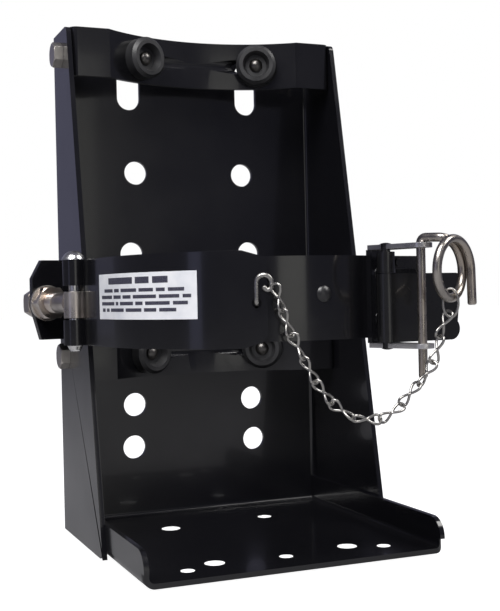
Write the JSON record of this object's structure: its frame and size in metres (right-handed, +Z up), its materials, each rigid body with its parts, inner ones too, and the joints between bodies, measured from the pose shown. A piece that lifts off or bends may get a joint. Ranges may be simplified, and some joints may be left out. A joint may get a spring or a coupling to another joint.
{
  "type": "cylinder mounting bracket",
  "caption": "Folded steel wall bracket with a shelf, rubber-faced saddles and a hinged quick-release band that holds a pressure cylinder upright.",
  "frame": {"origin": "on the rear face, at the centre of the rectangle of four wall bolt holes between the two saddles", "axes": "+X right as seen from the front, +Y into the wall, +Z up"},
  "size_m": [0.2219, 0.2519, 0.325],
  "materials": {
    "body_black": "gloss black powder coat",
    "saddle_black": "gloss black powder coat",
    "band_black": "gloss black powder coat",
    "latch_black": "gloss black",
    "rivet_black": "gloss black",
    "zinc_hardware": "zinc plated",
    "eyebolt_zinc": "zinc plated, warm",
    "pin_steel": "bright",
    "clevis_zinc": "zinc plated",
    "wire_steel": "satin",
    "chain_steel": "bright",
    "bumper_rubber": "satin",
    "label_white": "printed film"
  },
  "bodies": {
    "bracket": {"bracket_body": "body_black", "upper_saddle": "saddle_black", "lower_saddle": "saddle_black", "saddle_bolts": "zinc_hardware", "saddle_washers": "zinc_hardware", "saddle_nuts": "zinc_hardware", "rubber_bumpers": "bumper_rubber", "bumper_screws": "zinc_hardware", "bumper_nuts": "zinc_hardware", "left_anchor": "body_black", "anchor_rivets": "rivet_black", "right_arm": "band_black", "arm_rivets": "rivet_black", "eyebolt_washers": "eyebolt_zinc"},
    "tension_nuts": {"eyebolt_nuts": "eyebolt_zinc"},
    "tensioner": {"eyebolt": "eyebolt_zinc", "hinge_pin": "pin_steel"},
    "band": {"left_strap": "band_black", "right_strap": "band_black", "strap_rivet": "rivet_black", "label": "label_white", "latch_base": "band_black", "clevis_ears": "clevis_zinc", "base_rivets": "zinc_hardware", "lever_pivot": "zinc_hardware", "strap_hook": "chain_steel", "chain": "chain_steel"},
    "lever": {"latch_lever": "latch_black"},
    "link": {"latch_link": "latch_black"},
    "pin": {"pull_pin": "wire_steel"}
  },
  "joints": [
    {"name": "nut_turn", "type": "hinge", "parent": "bracket", "child": "tension_nuts", "pos_m": [-0.1012, -0.079, 0.0195], "axis": [-0.2045, 0.9789, 0], "range_deg": [-370, 370]},
    {"name": "eyebolt_slide", "type": "slide", "parent": "bracket", "child": "tensioner", "axis": [-0.2045, 0.9789, 0], "range_m": [-0.002, 0.002]},
    {"name": "band_swing", "type": "hinge", "parent": "tensioner", "child": "band", "pos_m": [-0.1012, -0.079, 0.0195], "axis": [0, 0, -1], "range_deg": [0, 100]},
    {"name": "lever_swing", "type": "hinge", "parent": "band", "child": "lever", "pos_m": [0.0362, -0.2126, 0.0195], "axis": [0, 0, -1], "range_deg": [0, 20]},
    {"name": "link_swing", "type": "hinge", "parent": "band", "child": "link", "pos_m": [0.0362, -0.2126, 0.0195], "axis": [0, 0, -1], "range_deg": [0, 10]},
    {"name": "pin_pull", "type": "slide", "parent": "band", "child": "pin", "axis": [0, 0, 1], "range_m": [0, 0.08]}
  ],
  "couplings": [
    {"joint": "nut_turn", "follows": "eyebolt_slide", "rad_per_m": -3215.6},
    {"joint": "link_swing", "follows": "lever_swing", "ratio": 0.5}
  ]
}
